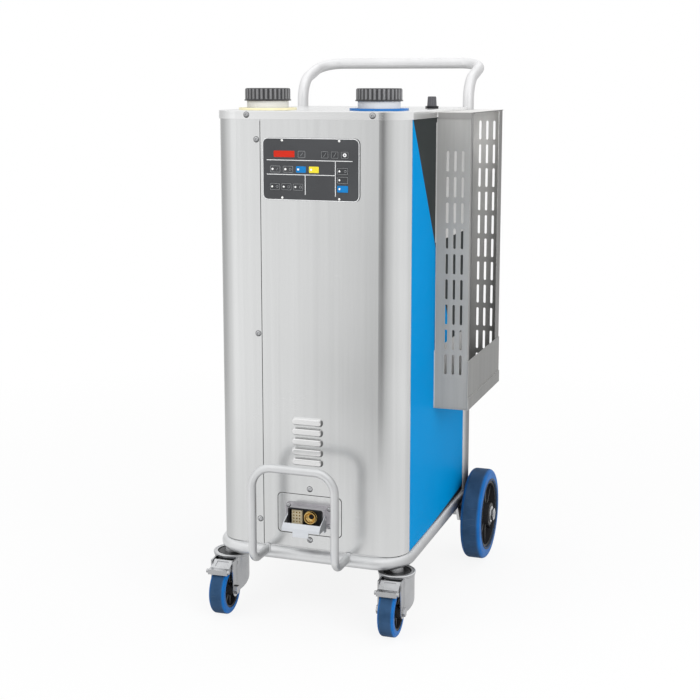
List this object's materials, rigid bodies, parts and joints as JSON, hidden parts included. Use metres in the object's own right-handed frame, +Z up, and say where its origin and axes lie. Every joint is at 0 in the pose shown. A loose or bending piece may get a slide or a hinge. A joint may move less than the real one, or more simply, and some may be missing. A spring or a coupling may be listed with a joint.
{
  "type": "steam cleaning trolley",
  "caption": "Upright steam cleaning trolley: brushed steel casing on a tube base, with casters, large rear wheels, push handle, slotted side carrier and front steam socket.",
  "frame": {"origin": "on the floor, under the middle of the whole trolley", "axes": "+Z up, -Y towards someone who faces the control panel, +X to that person's right, where the carrier is"},
  "size_m": [0.54, 0.719, 1.1145],
  "materials": {
    "brushed_sheet": "satin brushed",
    "tube_steel": "satin",
    "blue_sheet": "gloss paint",
    "black_tray": "matt paint",
    "plated_steel": "bright plated",
    "axle_steel": "turned",
    "blue_tyre": "matt",
    "black_rim": "matt",
    "dark_cap": "matt",
    "blue_ring": "satin",
    "yellow_ring": "satin",
    "tank_plastic": "matt",
    "panel_black": "satin",
    "window_dark": "gloss",
    "key_grey": "satin",
    "board_green": "matt",
    "cast_grey": "cast",
    "insert_beige": "matt",
    "brass_fitting": "turned",
    "lever_steel": "satin",
    "black_knob": "matt",
    "vessel_steel": "plain",
    "pump_paint": "matt"
  },
  "bodies": {
    "trolley": {"base_ring": "tube_steel", "push_handle": "tube_steel", "front_hoop": "tube_steel", "base_plate": "black_tray", "rear_axle": "axle_steel", "axle_nuts": "plated_steel", "caster_heads": "plated_steel", "front_panel_left": "brushed_sheet", "front_panel_right": "brushed_sheet", "side_panel_left": "blue_sheet", "side_panel_right": "blue_sheet", "rear_panel": "brushed_sheet", "lid": "brushed_sheet", "panel_screws": "plated_steel", "water_tank": "tank_plastic", "detergent_tank": "tank_plastic", "water_collar": "blue_ring", "detergent_collar": "yellow_ring", "control_panel": "panel_black", "panel_windows": "window_dark", "control_board": "board_green", "regulator_valve": "brass_fitting", "socket_plate": "brushed_sheet", "socket_housing": "cast_grey", "socket_insert": "insert_beige", "steam_coupling": "brass_fitting", "carrier_front_wall": "brushed_sheet", "carrier_rear_wall": "brushed_sheet", "carrier_tray": "brushed_sheet", "boiler": "vessel_steel", "feed_pump": "pump_paint", "steam_pipe": "vessel_steel", "mains_gland": "black_knob"},
    "water_cap": {"water_cap": "dark_cap"},
    "detergent_cap": {"detergent_cap": "dark_cap"},
    "regulator_knob": {"regulator_knob": "black_knob"},
    "locking_lever": {"locking_lever": "lever_steel"},
    "settings_key_1": {"settings_key_1": "key_grey"},
    "settings_key_2": {"settings_key_2": "key_grey"},
    "settings_key_3": {"settings_key_3": "key_grey"},
    "steam_key_1": {"steam_key_1": "key_grey"},
    "steam_key_2": {"steam_key_2": "key_grey"},
    "steam_key_3": {"steam_key_3": "key_grey"},
    "start_key_1": {"start_key_1": "key_grey"},
    "start_key_2": {"start_key_2": "key_grey"},
    "start_key_3": {"start_key_3": "key_grey"},
    "caster_fork_left": {"caster_fork_left": "plated_steel", "caster_axle_left": "plated_steel"},
    "caster_wheel_left": {"caster_rim_left": "black_rim", "caster_tyre_left": "blue_tyre"},
    "brake_pedal_left": {"brake_pedal_left": "plated_steel"},
    "rear_wheel_left": {"rear_rim_left": "black_rim", "rear_tyre_left": "blue_tyre"},
    "caster_fork_right": {"caster_fork_right": "plated_steel", "caster_axle_right": "plated_steel"},
    "caster_wheel_right": {"caster_rim_right": "black_rim", "caster_tyre_right": "blue_tyre"},
    "brake_pedal_right": {"brake_pedal_right": "plated_steel"},
    "rear_wheel_right": {"rear_rim_right": "black_rim", "rear_tyre_right": "blue_tyre"}
  },
  "joints": [
    {"name": "water_cap_lift", "type": "slide", "parent": "trolley", "child": "water_cap", "axis": [0, 0, 1], "range_m": [0, 0.06]},
    {"name": "detergent_cap_lift", "type": "slide", "parent": "trolley", "child": "detergent_cap", "axis": [0, 0, 1], "range_m": [0, 0.06]},
    {"name": "settings_key_1_press", "type": "slide", "parent": "trolley", "child": "settings_key_1", "axis": [0, 1, 0], "range_m": [0, 0.0006], "stiffness_N_per_m": 400},
    {"name": "settings_key_2_press", "type": "slide", "parent": "trolley", "child": "settings_key_2", "axis": [0, 1, 0], "range_m": [0, 0.0006], "stiffness_N_per_m": 400},
    {"name": "settings_key_3_press", "type": "slide", "parent": "trolley", "child": "settings_key_3", "axis": [0, 1, 0], "range_m": [0, 0.0006], "stiffness_N_per_m": 400},
    {"name": "steam_key_1_press", "type": "slide", "parent": "trolley", "child": "steam_key_1", "axis": [0, 1, 0], "range_m": [0, 0.0006], "stiffness_N_per_m": 400},
    {"name": "steam_key_2_press", "type": "slide", "parent": "trolley", "child": "steam_key_2", "axis": [0, 1, 0], "range_m": [0, 0.0006], "stiffness_N_per_m": 400},
    {"name": "steam_key_3_press", "type": "slide", "parent": "trolley", "child": "steam_key_3", "axis": [0, 1, 0], "range_m": [0, 0.0006], "stiffness_N_per_m": 400},
    {"name": "start_key_1_press", "type": "slide", "parent": "trolley", "child": "start_key_1", "axis": [0, 1, 0], "range_m": [0, 0.0006], "stiffness_N_per_m": 400},
    {"name": "start_key_2_press", "type": "slide", "parent": "trolley", "child": "start_key_2", "axis": [0, 1, 0], "range_m": [0, 0.0006], "stiffness_N_per_m": 400},
    {"name": "start_key_3_press", "type": "slide", "parent": "trolley", "child": "start_key_3", "axis": [0, 1, 0], "range_m": [0, 0.0006], "stiffness_N_per_m": 400},
    {"name": "regulator_turn", "type": "hinge", "parent": "trolley", "child": "regulator_knob", "pos_m": [0.165, 0.0165, 1.0075], "axis": [0, 0, 1], "range_deg": [0, 270]},
    {"name": "lever_swing", "type": "hinge", "parent": "trolley", "child": "locking_lever", "pos_m": [0.004, -0.2895, 0.2194], "axis": [-1, 0, 0], "range_deg": [0, 65]},
    {"name": "caster_swivel_left", "type": "hinge", "parent": "trolley", "child": "caster_fork_left", "pos_m": [-0.176, -0.2465, 0.1175], "axis": [0, 0, 1], "continuous": true},
    {"name": "caster_roll_left", "type": "hinge", "parent": "caster_fork_left", "child": "caster_wheel_left", "pos_m": [-0.1746, -0.28648, 0.05], "axis": [0.9994, 0.0349, 0], "continuous": true},
    {"name": "pedal_press_left", "type": "hinge", "parent": "caster_fork_left", "child": "brake_pedal_left", "pos_m": [-0.17488, -0.27848, 0.104], "axis": [0.9994, 0.0349, 0], "range_deg": [0, 6]},
    {"name": "rear_roll_left", "type": "hinge", "parent": "trolley", "child": "rear_wheel_left", "pos_m": [-0.2363, 0.1965, 0.1], "axis": [1, 0, 0], "continuous": true},
    {"name": "caster_swivel_right", "type": "hinge", "parent": "trolley", "child": "caster_fork_right", "pos_m": [0.176, -0.2465, 0.1175], "axis": [0, 0, 1], "continuous": true},
    {"name": "caster_roll_right", "type": "hinge", "parent": "caster_fork_right", "child": "caster_wheel_right", "pos_m": [0.1774, -0.28648, 0.05], "axis": [0.9994, 0.0349, 0], "continuous": true},
    {"name": "pedal_press_right", "type": "hinge", "parent": "caster_fork_right", "child": "brake_pedal_right", "pos_m": [0.17712, -0.27848, 0.104], "axis": [0.9994, 0.0349, 0], "range_deg": [0, 6]},
    {"name": "rear_roll_right", "type": "hinge", "parent": "trolley", "child": "rear_wheel_right", "pos_m": [0.2363, 0.1965, 0.1], "axis": [1, 0, 0], "continuous": true}
  ]
}
